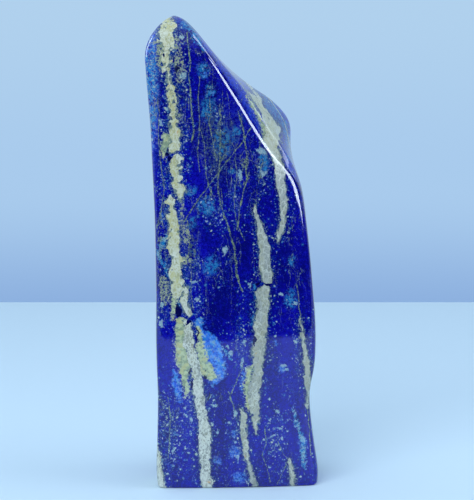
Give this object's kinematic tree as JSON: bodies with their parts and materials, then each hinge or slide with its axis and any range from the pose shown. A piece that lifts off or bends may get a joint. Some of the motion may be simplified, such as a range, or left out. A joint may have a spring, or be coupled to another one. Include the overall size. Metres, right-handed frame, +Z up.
{
  "type": "polished lapis lazuli tower",
  "caption": "Polished freeform lapis lazuli tower with a slanted, softened top and a sawn flat base, deep blue with pale calcite bands, for standing on a shelf or desk.",
  "frame": {"origin": "middle of the footprint, on the sawn base", "axes": "+Z up along the tower, -Y out of the broad front face, +X towards the low side of the slanted top"},
  "size_m": [0.0662, 0.0448, 0.18],
  "materials": {
    "lapis": "polished"
  },
  "bodies": {
    "root": {"lapis_tower": "lapis"}
  },
  "joints": []
}
